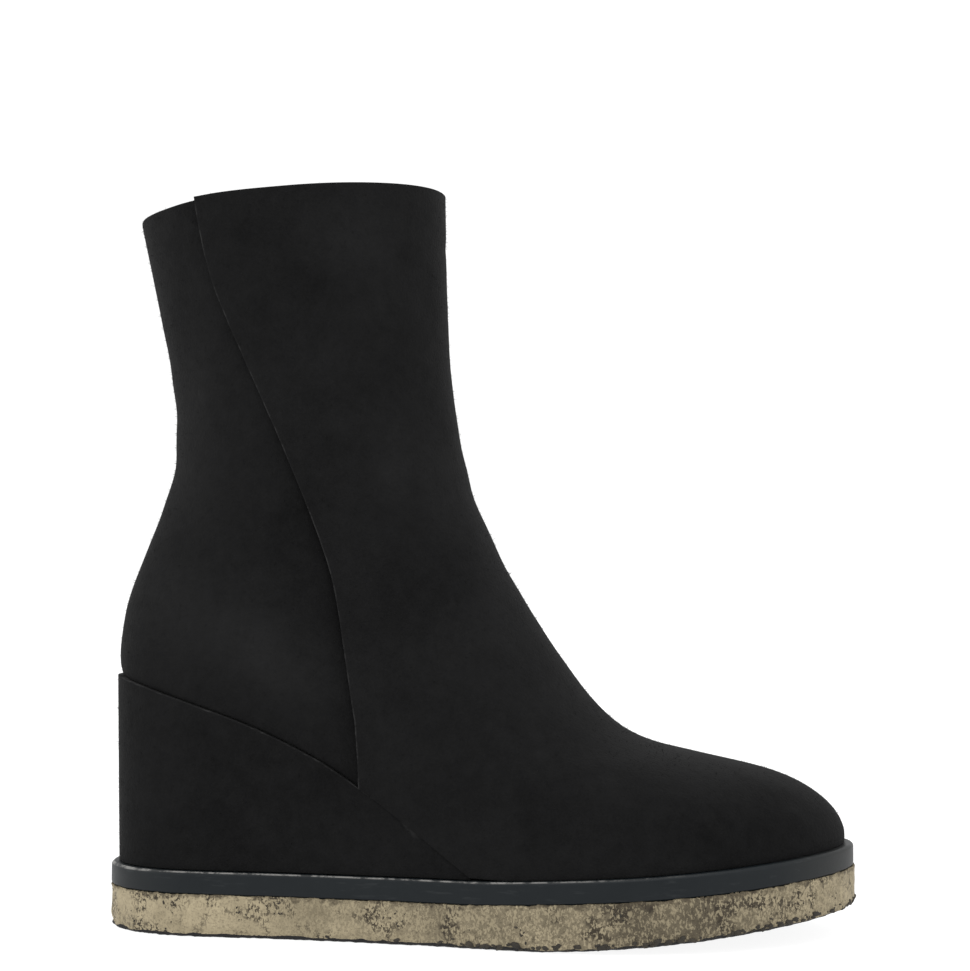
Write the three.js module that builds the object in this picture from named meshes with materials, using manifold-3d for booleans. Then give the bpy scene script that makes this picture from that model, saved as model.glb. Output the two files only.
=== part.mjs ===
// A wedge ankle boot for the right foot, in millimetres.
// +X runs to the toe, +Y to the inner side and +Z up; the sole stands on z = 0.
import * as THREE from 'three';
import { mergeVertices } from 'three/addons/utils/BufferGeometryUtils.js';
import Module from 'manifold-3d';

// Driving sizes of the sole
const SOLE_LENGTH = 258; // heel to toe over the crepe
const CREPE_THICKNESS = 13.5; // under the heel
const CREPE_SWELL = 1.2; // the crepe is this much thicker under the ball
const SWELL_LENGTH = 32; // and grows to it over this length, from the wedge's front edge
const CREPE_TAPER = 2.4; // its thickness falls by this much up to the toe
const CREPE_STEP = 0.2; // the crepe stands out past the midsole
const CREPE_EDGE = 1.2; // worn edge under the crepe
const MIDSOLE_THICKNESS = 7.9;
const MIDSOLE_STEP = 3.1; // the midsole stands out past the feather line of the upper
const MIDSOLE_EDGE = 0.9; // rounding of the midsole's rims
const TOE_SPRING = 10.2; // the tip of the sole stands this far off the floor
const SPRING_START = 0.6; // share of the sole that lies flat
const SPRING_BEND = 1.3; // power of the curve up to the toe
const WEDGE_HEIGHT = 64.3; // the heel seat above the midsole
const WEDGE_OUT = 0.5; // the wedge stands out past the feather line
const WEDGE_FLARE = 1.4; // and this much more at the heel seat
const WEDGE_TIP = 0.5; // the wedge's front edge
const INSOLE_THICKNESS = 3;

// Driving sizes of the last and the shaft, over the finished upper
const BALL_WIDTH = 88;
const TOE_LENGTH = 58; // the low part of the toe box
const TOE_HEIGHT = 31.0; // the top of the toe box above the feather line
const TOE_SWING = 6; // the toe leans this far to the inner side
const ANKLE_WIDTH = 75;
const ANKLE_INSET = 20; // the back of the ankle lies this far inside the heel
const SHAFT_HEIGHT = 156.4; // the back of the collar above the heel seat
const COLLAR_LENGTH = 107.5;
const COLLAR_WIDTH = 88;
const COLLAR_RISE = 10.8; // the front of the collar is higher than its back
const UPPER_WALL = 1.8;
const PANEL_THICKNESS = 1;
const PANEL_LIFT = 0.8; // the panel's top edge above the collar
const SINK_FROM = 0.45; // the upper sinks under the panel from this share of each ring
const SINK_TO = 0.95; // to this one, where the panel ends flush

// Clearances
const GAP = 0.3; // between pieces that meet
const INSOLE_GAP = 0.5; // round the insole

// Fineness of the faceted surfaces
const SIDE_STEPS = 26; // from the heel to the toe along one side
const RING_STEPS = 24; // from the feather line to the collar
const STATION_EVENNESS = 0.1; // 0 spaces the stations as a circle does
const TIP_STEP = Math.round(SIDE_STEPS / 2); // the wedge's front edge lies at this station
const AROUND = 2 * SIDE_STEPS;
const CURVE_STEPS = 400; // for the lengths of the side-view profiles
const EDGE_STEPS = 3; // between two rows of the panel's edge
const WELD = 1e-4; // corners closer than this are one

// Rings of the upper, from the feather line up to the collar.
// front and back: shares of the way up the front and back profiles
// sag: share of the feather line's dip below its chord that the ring keeps
// swing: share of the last's sideways curve that the ring keeps
// width: the size that the ring follows
// heel to toe: fullness of the ring against an oval of that width, at six even stations
const RINGS = [
  { level: 0.0, front: 0.0, back: 0.0, sag: 1.0, swing: 1.0, width: BALL_WIDTH,
    heel: 1.24, counter: 0.8, waist: 0.72, joint: 0.92, ball: 1.15, toe: 1.2 },
  { level: 0.1, front: 0.03, back: 0.035, sag: 0.98, swing: 1.0, width: BALL_WIDTH,
    heel: 1.28, counter: 0.835, waist: 0.74, joint: 0.94, ball: 1.17, toe: 1.22 },
  { level: 0.2, front: 0.1, back: 0.08, sag: 0.93, swing: 1.0, width: BALL_WIDTH,
    heel: 1.32, counter: 0.87, waist: 0.76, joint: 0.91, ball: 1.18, toe: 1.26 },
  { level: 0.3, front: 0.19, back: 0.13, sag: 0.8, swing: 0.95, width: BALL_WIDTH,
    heel: 1.25, counter: 0.91, waist: 0.77, joint: 0.86, ball: 1.09, toe: 1.22 },
  { level: 0.4, front: 0.29, back: 0.19, sag: 0.6, swing: 0.85, width: BALL_WIDTH,
    heel: 1.15, counter: 0.92, waist: 0.79, joint: 0.83, ball: 1.01, toe: 1.2 },
  { level: 0.5, front: 0.41, back: 0.26, sag: 0.4, swing: 0.6, width: ANKLE_WIDTH,
    heel: 1.19, counter: 1.06, waist: 0.97, joint: 0.98, ball: 1.11, toe: 1.3 },
  { level: 0.6, front: 0.53, back: 0.35, sag: 0.22, swing: 0.3, width: ANKLE_WIDTH,
    heel: 0.99, counter: 1.02, waist: 0.99, joint: 0.99, ball: 1.05, toe: 1.14 },
  { level: 0.7, front: 0.65, back: 0.48, sag: 0.08, swing: 0.1, width: ANKLE_WIDTH,
    heel: 0.92, counter: 0.98, waist: 1.0, joint: 1.0, ball: 1.01, toe: 1.0 },
  { level: 0.8, front: 0.77, back: 0.65, sag: 0.02, swing: 0.0, width: ANKLE_WIDTH,
    heel: 0.95, counter: 1.0, waist: 1.02, joint: 1.02, ball: 1.0, toe: 0.98 },
  { level: 0.9, front: 0.885, back: 0.83, sag: 0.0, swing: 0.0, width: COLLAR_WIDTH,
    heel: 0.88, counter: 0.91, waist: 0.93, joint: 0.93, ball: 0.92, toe: 0.9 },
  { level: 1.0, front: 1.0, back: 1.0, sag: 0.0, swing: 0.0, width: COLLAR_WIDTH,
    heel: 0.96, counter: 0.98, waist: 1.0, joint: 1.0, ball: 0.99, toe: 0.97 },
];
const STATIONS = ['heel', 'counter', 'waist', 'joint', 'ball', 'toe'];

// Sideways curve of the last's centre line, in shares of the toe's swing
const CENTRE_LINE = [
  { along: 0.0, inward: 0.0 },
  { along: 0.2, inward: 0.0 },
  { along: 0.4, inward: -0.45 },
  { along: 0.6, inward: -0.4 },
  { along: 0.8, inward: 0.2 },
  { along: 1.0, inward: 1.0 },
];

// Top of the toe box, back from the tip
const TOE_PROFILE = [
  { back: 0.0, up: 0.0 },
  { back: -0.004, up: 0.1 },
  { back: 0.014, up: 0.24 },
  { back: 0.08, up: 0.425 },
  { back: 0.262, up: 0.654 },
  { back: 0.45, up: 0.785 },
  { back: 0.641, up: 0.87 },
  { back: 0.82, up: 0.944 },
];

// Front of the instep and shaft, from the end of the toe box up to the collar
const FRONT_PROFILE = [
  { forward: 1.0, up: 0.0 },
  { forward: 0.86, up: 0.0145 },
  { forward: 0.715, up: 0.052 },
  { forward: 0.633, up: 0.0905 },
  { forward: 0.511, up: 0.165 },
  { forward: 0.387, up: 0.236 },
  { forward: 0.29, up: 0.309 },
  { forward: 0.197, up: 0.382 },
  { forward: 0.128, up: 0.455 },
  { forward: 0.081, up: 0.527 },
  { forward: 0.029, up: 0.673 },
  { forward: 0.009, up: 0.819 },
  { forward: 0.0, up: 1.0 },
];

// Back of the heel and shaft, in shares of the ankle's inset and the shaft's height
const BACK_PROFILE = [
  { inset: 0.05, up: 0.0 },
  { inset: 0.0, up: 0.035 },
  { inset: 0.07, up: 0.12 },
  { inset: 0.245, up: 0.21 },
  { inset: 0.53, up: 0.3 },
  { inset: 0.785, up: 0.385 },
  { inset: 0.95, up: 0.475 },
  { inset: 0.945, up: 0.57 },
  { inset: 0.875, up: 0.655 },
  { inset: 0.74, up: 0.745 },
  { inset: 0.595, up: 0.83 },
  { inset: 0.295, up: 1.0 },
];

// Top of the wedge, from the heel to its front edge, in shares of its height
const WEDGE_LINE = [
  { along: 0.0, up: 1.0 },
  { along: 0.05, up: 0.947 },
  { along: 0.1, up: 0.886 },
  { along: 0.2, up: 0.752 },
  { along: 0.3, up: 0.568 },
  { along: 0.35, up: 0.443 },
  { along: 0.4, up: 0.3 },
  { along: 0.45, up: 0.152 },
  { along: 0.5, up: 0.0 },
];

// Back edge of the front panel in the side view.
// along: share of the feather length, up: share of the way from the wedge's foot to the collar
const PANEL_EDGE = [
  { along: 0.117, up: 1.06 },
  { along: 0.1255, up: 1.0 },
  { along: 0.1355, up: 0.945 },
  { along: 0.1505, up: 0.885 },
  { along: 0.1735, up: 0.823 },
  { along: 0.2105, up: 0.732 },
  { along: 0.247, up: 0.641 },
  { along: 0.2815, up: 0.551 },
  { along: 0.3105, up: 0.461 },
  { along: 0.323, up: 0.4 },
  { along: 0.3335, up: 0.327 },
  { along: 0.342, up: 0.265 },
  { along: 0.349, up: 0.21 },
  { along: 0.3505, up: 0.125 },
  { along: 0.3505, up: -0.05 },
];

// Levels that follow from the sizes
const FEATHER_LENGTH = SOLE_LENGTH - 2 * (MIDSOLE_STEP + CREPE_STEP);
const HEEL_X = -FEATHER_LENGTH / 2;
const TOE_X = FEATHER_LENGTH / 2;
const TIP_X = HEEL_X + FEATHER_LENGTH * WEDGE_LINE.at(-1).along; // the wedge's front edge
const MIDSOLE_FOOT = CREPE_THICKNESS + GAP;
const MIDSOLE_TOP = MIDSOLE_FOOT + MIDSOLE_THICKNESS;
const WEDGE_FOOT = MIDSOLE_TOP + GAP;
const SEAT_TOP = MIDSOLE_TOP + WEDGE_HEIGHT;
const COLLAR_BACK_Z = SEAT_TOP + GAP + SHAFT_HEIGHT;
const COLLAR_FRONT_Z = COLLAR_BACK_Z + COLLAR_RISE;
const COUNTER_X = HEEL_X - ANKLE_INSET * BACK_PROFILE[0].inset;
const COLLAR_BACK_X = COUNTER_X + ANKLE_INSET * BACK_PROFILE.at(-1).inset;
const COLLAR_FRONT_X = COLLAR_BACK_X + COLLAR_LENGTH;
const PANEL_BUILD = GAP + PANEL_THICKNESS;
const CLEAR = 10; // cutters and fillers run this far past what they cut

// Smooth curve through the rows of a table: the column `to` over the column `from`
function through(rows, from, to) {
  const row = (k) => rows[THREE.MathUtils.clamp(k, 0, rows.length - 1)];
  const slope = (k) => (row(k + 1)[to] - row(k - 1)[to]) / (row(k + 1)[from] - row(k - 1)[from]);
  return (value) => {
    let k = 0;
    while (k < rows.length - 2 && value > rows[k + 1][from]) k += 1;
    const span = rows[k + 1][from] - rows[k][from];
    const t = THREE.MathUtils.clamp((value - rows[k][from]) / span, 0, 1);
    const rise = rows[k + 1][to] - rows[k][to];
    const bend = (1 - t) * (slope(k) * span - rise) - t * (slope(k + 1) * span - rise);
    return rows[k][to] + t * rise + t * (1 - t) * bend;
  };
}

// Rise of a sole layer towards the toe
function springAt(x, amount) {
  const start = -SOLE_LENGTH / 2 + SPRING_START * SOLE_LENGTH;
  const share = Math.max(0, (x - start) / (SOLE_LENGTH / 2 - start));
  return amount * share ** SPRING_BEND;
}

// Rise of the layers above the crepe
function layerRise(x) {
  const swell = THREE.MathUtils.smoothstep(x, TIP_X, TIP_X + SWELL_LENGTH);
  return springAt(x, TOE_SPRING - CREPE_TAPER) + CREPE_SWELL * swell;
}

const wedgeShare = through(WEDGE_LINE, 'along', 'up');
const wedgeShareAt = (x) => wedgeShare((x - HEEL_X) / FEATHER_LENGTH);

function wedgeTopAt(x) {
  const rise = WEDGE_HEIGHT - GAP - WEDGE_TIP;
  return WEDGE_FOOT + WEDGE_TIP + rise * wedgeShareAt(x);
}

// Height of the feather line, where the upper and insole stand on the wedge and midsole.
// It goes on past the wedge's front edge at the wedge's slope until it meets the midsole.
function featherAt(x) {
  const [before, tip] = WEDGE_LINE.slice(-2);
  const run = (tip.along - before.along) * FEATHER_LENGTH;
  const fall = WEDGE_HEIGHT * before.up * Math.max(0, x - TIP_X) / run;
  return Math.max(MIDSOLE_TOP + GAP + layerRise(x), wedgeTopAt(x) + GAP - fall);
}

// Height of the collar, on a plane that leans up to the front
function collarAt(x) {
  return COLLAR_BACK_Z + COLLAR_RISE * (x - COLLAR_BACK_X) / COLLAR_LENGTH;
}

// Side-view curve from points (x, z)
function profile(points) {
  const curve = new THREE.CatmullRomCurve3(points, false, 'centripetal');
  curve.arcLengthDivisions = CURVE_STEPS;
  return curve;
}

function frontProfile() {
  const foot = featherAt(TOE_X);
  const shoulderX = TOE_X - TOE_LENGTH;
  const shoulderZ = foot + TOE_HEIGHT;
  const toe = TOE_PROFILE.map(({ back, up }) => (
    new THREE.Vector3(TOE_X - back * TOE_LENGTH, 0, foot + up * TOE_HEIGHT)));
  const shaft = FRONT_PROFILE.map(({ forward, up }) => new THREE.Vector3(
    THREE.MathUtils.lerp(COLLAR_FRONT_X, shoulderX, forward), 0,
    THREE.MathUtils.lerp(shoulderZ, COLLAR_FRONT_Z, up)));
  return profile([...toe, ...shaft]);
}

function backProfile() {
  return profile(BACK_PROFILE.map(({ inset, up }) => new THREE.Vector3(
    COUNTER_X + inset * ANKLE_INSET, 0,
    THREE.MathUtils.lerp(featherAt(HEEL_X), COLLAR_BACK_Z, up))));
}

// Stations along one side, close together at the round ends
function stationAt(step) {
  const turn = step / SIDE_STEPS;
  const angle = Math.PI * turn + STATION_EVENNESS * Math.sin(2 * Math.PI * turn);
  return { along: (1 - Math.cos(angle)) / 2, oval: Math.sin(angle) };
}

// A loop runs from the heel along the outer side to the toe and back along the inner side
function loopPlaces() {
  return Array.from({ length: AROUND }, (_, i) => {
    const step = i <= SIDE_STEPS ? i : AROUND - i;
    return { ...stationAt(step), side: i <= SIDE_STEPS ? -1 : 1 };
  });
}

const PLACES = loopPlaces();
const centreLine = through(CENTRE_LINE, 'along', 'inward');
const chordDip = (along) => {
  const x = HEEL_X + along * FEATHER_LENGTH;
  return THREE.MathUtils.lerp(featherAt(HEEL_X), featherAt(TOE_X), along) - featherAt(x);
};

// One ring of the finished upper at a level between the feather line (0) and the collar (1)
function ring(level, front, back) {
  const value = (name) => through(RINGS, 'level', name)(level);
  const foremost = front.getPointAt(THREE.MathUtils.clamp(value('front'), 0, 1));
  const hindmost = back.getPointAt(THREE.MathUtils.clamp(value('back'), 0, 1));
  const halfWidths = RINGS.map((row) => ({
    level: row.level,
    ...Object.fromEntries(STATIONS.map((name) => [name, row[name] * row.width / 2])),
  }));
  const fullness = STATIONS.map((name, k) => ({
    along: k / (STATIONS.length - 1),
    half: through(halfWidths, 'level', name)(level),
  }));
  const halfAt = through(fullness, 'along', 'half');
  return PLACES.map(({ along, oval, side }) => new THREE.Vector3(
    THREE.MathUtils.lerp(hindmost.x, foremost.x, along),
    value('swing') * TOE_SWING * centreLine(along) + side * oval * halfAt(along),
    THREE.MathUtils.lerp(hindmost.z, foremost.z, along) - value('sag') * chordDip(along)));
}

// The finished surface as rings, and the direction out of it at each point
function finishedSurface() {
  const front = frontProfile();
  const back = backProfile();
  const rings = Array.from({ length: RING_STEPS + 1 }, (_, j) => ring(j / RING_STEPS, front, back));
  const outward = rings.map((loop, j) => loop.map((_, i) => {
    const around = loop[(i + 1) % AROUND].clone().sub(loop[(i + AROUND - 1) % AROUND]);
    const above = rings[Math.min(j + 1, RING_STEPS)][i];
    const below = rings[Math.max(j - 1, 0)][i];
    return around.cross(above.clone().sub(below)).normalize();
  }));
  return { rings, outward };
}

const SURFACE = finishedSurface();

// The upper lies deeper under the panel, so that the panel ends flush at the front
function sinkAt(along) {
  return PANEL_BUILD * THREE.MathUtils.smoothstep(along, SINK_FROM, SINK_TO);
}

// The upper's surface moved out by a distance, with its ends on the feather line and the collar
function form(distance) {
  return SURFACE.rings.map((loop, j) => loop.map((point, i) => {
    const moved = SURFACE.outward[j][i].clone();
    moved.multiplyScalar(distance - sinkAt(PLACES[i].along)).add(point);
    if (j === 0) moved.z = featherAt(moved.x);
    if (j === RING_STEPS) moved.z = collarAt(moved.x);
    return moved;
  }));
}

const raised = (loop, amount) => loop.map((p) => new THREE.Vector3(p.x, p.y, p.z + amount));

// The feather line in plan, moved out by a distance that may change along the sole
function outline(outAt) {
  const line = SURFACE.rings[0];
  return line.map((point, i) => {
    const ahead = line[(i + 1) % AROUND];
    const behind = line[(i + AROUND - 1) % AROUND];
    const out = new THREE.Vector3(ahead.y - behind.y, behind.x - ahead.x, 0).normalize();
    return new THREE.Vector3(point.x, point.y, 0).addScaledVector(out, outAt(point.x, PLACES[i]));
  });
}

const atHeight = (loop, heightAt) => loop.map((p) => new THREE.Vector3(p.x, p.y, heightAt(p.x)));

// Closed surface over loops of equal count: caps at both ends, or the last loop joined to the first
function skin(loops, ringShaped = false) {
  const count = loops[0].length;
  const positions = loops.flat().flatMap((p) => [p.x, p.y, p.z]);
  const index = [];
  const face = (...corners) => {
    const own = corners.filter((c, k) => c !== corners[(k + 1) % corners.length]);
    for (let k = 2; k < own.length; k += 1) index.push(own[0], own[k - 1], own[k]);
  };
  const bands = ringShaped ? loops.length : loops.length - 1;
  for (let j = 0; j < bands; j += 1) {
    const low = j * count;
    const high = ((j + 1) % loops.length) * count;
    for (let i = 0; i < count; i += 1) {
      const next = (i + 1) % count;
      face(low + i, low + next, high + next, high + i);
    }
  }
  if (!ringShaped) {
    const top = (loops.length - 1) * count;
    for (let k = 0; k + 1 <= count - k - 1; k += 1) {
      const strip = [k, k + 1, count - k - 1, (count - k) % count];
      face(...strip.map((i) => top + i));
      face(...strip.reverse());
    }
  }
  const geometry = new THREE.BufferGeometry();
  geometry.setAttribute('position', new THREE.Float32BufferAttribute(positions, 3));
  geometry.setIndex(index);
  return geometry;
}

// Joins and cuts of closed solids
const wasm = await Module();
wasm.setup();

function solidOf(geometry) {
  const bare = geometry.clone();
  bare.deleteAttribute('normal');
  bare.deleteAttribute('uv');
  const merged = mergeVertices(bare, WELD);
  return new wasm.Manifold(new wasm.Mesh({
    numProp: 3,
    vertProperties: new Float32Array(merged.attributes.position.array),
    triVerts: new Uint32Array(merged.index.array),
  }));
}

function geometryOf(solid) {
  const mesh = solid.getMesh();
  const geometry = new THREE.BufferGeometry();
  geometry.setAttribute('position', new THREE.BufferAttribute(mesh.vertProperties, 3));
  geometry.setIndex(new THREE.BufferAttribute(mesh.triVerts, 1));
  geometry.computeVertexNormals();
  return geometry;
}

// A layer of the sole: each row moves the outline out and sets its height
function layer(rows) {
  return skin(rows.map(({ out, heightAt }) => atHeight(outline(() => out), heightAt)));
}

function crepeOutsole() {
  const out = MIDSOLE_STEP + CREPE_STEP;
  const foot = (x) => springAt(x, TOE_SPRING);
  const top = (x) => CREPE_THICKNESS + layerRise(x);
  return layer([
    { out: out - CREPE_EDGE, heightAt: foot },
    { out, heightAt: (x) => foot(x) + CREPE_EDGE },
    { out, heightAt: (x) => top(x) - CREPE_EDGE },
    { out: out - CREPE_EDGE / 2, heightAt: top },
  ]);
}

function midsole() {
  const foot = (x) => MIDSOLE_FOOT + layerRise(x);
  const top = (x) => MIDSOLE_TOP + layerRise(x);
  return layer([
    { out: MIDSOLE_STEP - MIDSOLE_EDGE, heightAt: foot },
    { out: MIDSOLE_STEP, heightAt: (x) => foot(x) + MIDSOLE_EDGE },
    { out: MIDSOLE_STEP, heightAt: (x) => top(x) - MIDSOLE_EDGE },
    { out: MIDSOLE_STEP - MIDSOLE_EDGE, heightAt: top },
  ]);
}

// The wedge keeps only the stations behind its front edge
function wedge() {
  const backHalf = (loop) => loop.filter((_, i) => i <= TIP_STEP || i >= AROUND - TIP_STEP);
  const foot = backHalf(outline(() => WEDGE_OUT));
  const head = backHalf(outline((x) => WEDGE_OUT + WEDGE_FLARE * wedgeShareAt(x)));
  return skin([atHeight(foot, () => WEDGE_FOOT), atHeight(head, wedgeTopAt)]);
}

function insole() {
  const inset = (x, { along }) => -(UPPER_WALL + sinkAt(along) + INSOLE_GAP);
  const line = outline(inset);
  return skin([
    atHeight(line, featherAt),
    atHeight(line, (x) => featherAt(x) + INSOLE_THICKNESS),
  ]);
}

// One hollow wall, open at the collar and underneath
function upper() {
  return skin([...form(0), ...form(-UPPER_WALL).reverse()], true);
}

// The overlay on the front of the shaft and the vamp, cut between two forms of the upper
function frontPanel() {
  const face = form(PANEL_BUILD);
  const lining = form(GAP);
  const outer = solidOf(skin([...face, raised(face.at(-1), PANEL_LIFT)]));
  const inner = solidOf(skin([raised(lining[0], -CLEAR), ...lining, raised(lining.at(-1), CLEAR)]));
  const edge = new THREE.SplineCurve(PANEL_EDGE.map(({ along, up }) => new THREE.Vector2(
    HEEL_X + along * FEATHER_LENGTH,
    THREE.MathUtils.lerp(WEDGE_FOOT, COLLAR_BACK_Z, up)))).getPoints(EDGE_STEPS * PANEL_EDGE.length);
  const side = new THREE.Shape([
    ...edge,
    new THREE.Vector2(edge.at(-1).x, -CLEAR),
    new THREE.Vector2(TOE_X + CLEAR, -CLEAR),
    new THREE.Vector2(TOE_X + CLEAR, COLLAR_FRONT_Z + CLEAR),
    new THREE.Vector2(edge[0].x, COLLAR_FRONT_Z + CLEAR),
  ]);
  const reach = BALL_WIDTH + COLLAR_WIDTH;
  const block = new THREE.ExtrudeGeometry(side, { depth: 2 * reach, bevelEnabled: false });
  block.rotateX(Math.PI / 2).translate(0, reach, 0);
  return geometryOf(outer.subtract(inner).intersect(solidOf(block)));
}

const suede = { color: 0x1b1b1c, roughness: 0.95, metalness: 0 };
const PIECES = [
  { name: 'outsole', shape: crepeOutsole, finish: { color: 0xa3987c, roughness: 0.9, metalness: 0 } },
  { name: 'midsole', shape: midsole, finish: { color: 0x2d3135, roughness: 0.5, metalness: 0 } },
  { name: 'wedge', shape: wedge, finish: suede },
  { name: 'insole', shape: insole, finish: { color: 0x2a2726, roughness: 0.7, metalness: 0 } },
  { name: 'upper', shape: upper, finish: suede },
  { name: 'front_panel', shape: frontPanel, finish: suede },
];

// The boot stands with the middle of its sole's width over the origin
function middleOfSole() {
  const across = outline(() => MIDSOLE_STEP + CREPE_STEP).map((p) => p.y);
  return (Math.min(...across) + Math.max(...across)) / 2;
}

const boot = new THREE.Group();
boot.name = 'boot';
boot.position.y = -middleOfSole();
for (const { name, shape, finish } of PIECES) {
  const mesh = new THREE.Mesh(shape(), new THREE.MeshStandardMaterial(finish));
  mesh.name = name;
  boot.add(mesh);
}

export default boot;
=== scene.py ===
"""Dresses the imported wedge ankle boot: suede, slate rand, crepe sole, studio and camera.

Every length is in metres unless its name ends in _mm. +X runs to the toe, +Y to the inner
side of the foot and +Z up, and the sole stands on z = 0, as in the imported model.
"""

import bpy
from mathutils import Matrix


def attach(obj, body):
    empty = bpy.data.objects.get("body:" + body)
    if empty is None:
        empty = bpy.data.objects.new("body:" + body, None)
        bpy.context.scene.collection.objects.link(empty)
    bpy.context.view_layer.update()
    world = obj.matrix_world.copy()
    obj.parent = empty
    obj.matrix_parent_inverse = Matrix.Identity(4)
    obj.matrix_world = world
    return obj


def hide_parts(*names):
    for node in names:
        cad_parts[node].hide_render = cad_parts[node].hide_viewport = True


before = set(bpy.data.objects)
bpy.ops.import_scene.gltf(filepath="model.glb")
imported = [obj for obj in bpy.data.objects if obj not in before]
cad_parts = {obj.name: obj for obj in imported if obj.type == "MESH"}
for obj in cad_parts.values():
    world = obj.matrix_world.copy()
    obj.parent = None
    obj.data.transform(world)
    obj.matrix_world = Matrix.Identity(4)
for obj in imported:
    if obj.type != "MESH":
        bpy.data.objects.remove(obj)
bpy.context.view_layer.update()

import logging
import math
import random
from collections.abc import Callable
from dataclasses import dataclass, field
from enum import Enum

import bmesh
import bpy
import numpy as np
from mathutils import Matrix, Vector, noise

LOG = logging.getLogger("boot")
MM = 0.001
WELD = 0.01 * MM
WALL_ANGLE = math.radians(38)
FLAT_ANGLE = math.radians(25)
SIDE_BLEND = 8 * MM
BODY = "root"

Colour = tuple[float, float, float]
Point = tuple[float, float]
Place = tuple[float, float, float]
Rows = np.ndarray
Cage = bmesh.types.BMesh
Vert = bmesh.types.BMVert
MeshData = bpy.types.Mesh
Item = bpy.types.Object
Material = bpy.types.Material
Socket = bpy.types.NodeSocket


class Side(Enum):
    """The side of the boot that a mark lies on."""

    OUTER = -1
    BOTH = 0
    INNER = 1


class Slot(Enum):
    """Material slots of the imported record."""

    CREPE = "crepe"
    RAND = "rand"
    SUEDE = "suede"
    LINING = "lining"


# Mesh helpers


def cad_copy(node: str) -> Cage:
    """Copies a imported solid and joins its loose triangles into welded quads.

    Args:
        node: Name of the CAD node.

    Returns:
        A new mesh in the frame of the boot.
    """
    mesh = bmesh.new()
    mesh.from_mesh(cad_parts[node].data)
    bmesh.ops.remove_doubles(mesh, verts=mesh.verts, dist=WELD)
    bmesh.ops.join_triangles(mesh, faces=mesh.faces, angle_face_threshold=FLAT_ANGLE,
                             angle_shape_threshold=math.pi)
    mesh.verts.index_update()
    mesh.faces.index_update()
    return mesh


def islands(mesh: Cage, angle: float) -> list[list[bmesh.types.BMFace]]:
    """Groups the faces that meet across edges flatter than an angle.

    Args:
        mesh: Mesh to read.
        angle: Sharpest angle, in radians, that still joins two faces.

    Returns:
        The groups, the largest first.
    """
    mesh.faces.index_update()
    seen = [False] * len(mesh.faces)
    groups = []
    for start in mesh.faces:
        if seen[start.index]:
            continue
        seen[start.index] = True
        waiting, group = [start], []
        while waiting:
            face = waiting.pop()
            group.append(face)
            for edge in face.edges:
                if len(edge.link_faces) != 2 or edge.calc_face_angle() > angle:
                    continue
                for other in edge.link_faces:
                    if not seen[other.index]:
                        seen[other.index] = True
                        waiting.append(other)
        groups.append(sorted(group, key=lambda item: item.index))
    return sorted(groups, key=lambda group: -sum(face.calc_area() for face in group))


def sharp_edges(mesh: Cage, angle: float) -> list[bmesh.types.BMEdge]:
    """Lists the edges sharper than an angle in radians, in the order of the mesh."""
    return [edge for edge in mesh.edges
            if len(edge.link_faces) == 2 and edge.calc_face_angle() > angle]


def round_edges(mesh: Cage, edges: list[bmesh.types.BMEdge], radius: float,
                segments: int = 2) -> None:
    """Rounds edges of a mesh with a bevel of so many segments."""
    bmesh.ops.bevel(mesh, geom=edges, offset=radius, offset_type="OFFSET", segments=segments,
                    profile=0.5, affect="EDGES", material=-1, clamp_overlap=True)


def pin(mesh: Cage, stays: Callable[[Vert], bool]) -> None:
    """Keeps points of a cage in place when it is smoothed.

    Args:
        mesh: Cage to mark.
        stays: Tells whether a point stays where it is.
    """
    layer = mesh.verts.layers.float.new("crease_vert")
    for point in mesh.verts:
        point[layer] = float(stays(point))


def as_data(mesh: Cage, name: str) -> MeshData:
    """Turns a cage into mesh data, which frees the cage.

    Args:
        mesh: Cage to turn.
        name: Name of the data.

    Returns:
        The mesh data.
    """
    data = bpy.data.meshes.new(name)
    mesh.to_mesh(data)
    mesh.free()
    return data


def placed(name: str, data: bpy.types.ID) -> Item:
    """Makes an object of mesh, light or camera data in the scene, at the origin."""
    item = bpy.data.objects.new(name, data)
    bpy.context.scene.collection.objects.link(item)
    return item


def modify(item: Item, kind: str, **settings: object) -> None:
    """Adds a modifier to an object.

    Args:
        item: Object to change.
        kind: Type of the modifier.
        settings: Values of the modifier.
    """
    modifier = item.modifiers.new(kind.title(), kind)
    for name, value in settings.items():
        setattr(modifier, name, value)


def evaluated(mesh: Cage, kind: str, **settings: object) -> MeshData:
    """Puts a mesh through one modifier and frees it.

    Args:
        mesh: Mesh to pass through.
        kind: Type of the modifier.
        settings: Values of the modifier.

    Returns:
        The finished mesh data.
    """
    data = as_data(mesh, "work")
    work = placed("work", data)
    modify(work, kind, **settings)
    graph = bpy.context.evaluated_depsgraph_get()
    result = bpy.data.meshes.new_from_object(work.evaluated_get(graph))
    bpy.data.objects.remove(work)
    bpy.data.meshes.remove(data)
    return result


def smoothed(mesh: Cage, levels: int) -> MeshData:
    """Turns a coarse cage into its smooth surface, split so many times, and frees it."""
    return evaluated(mesh, "SUBSURF", levels=levels, render_levels=levels)


def reopened(data: MeshData) -> Cage:
    """Opens mesh data for more modelling and removes the data.

    Args:
        data: Mesh data to open.

    Returns:
        The same shape as a cage.
    """
    mesh = bmesh.new()
    mesh.from_mesh(data)
    bpy.data.meshes.remove(data)
    mesh.normal_update()
    return mesh


def read_points(data: MeshData, name: str = "co") -> Rows:
    """Reads all the points.

    Args:
        data: Mesh data to read.
        name: Either co for the places or normal.

    Returns:
        Rows of x, y and z.
    """
    values = np.empty(len(data.vertices) * 3)
    data.vertices.foreach_get(name, values)
    return values.reshape(-1, 3)


def write_points(data: MeshData, places: Rows) -> None:
    """Puts all the points at new places."""
    data.vertices.foreach_set("co", places.ravel())
    data.update()


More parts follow.
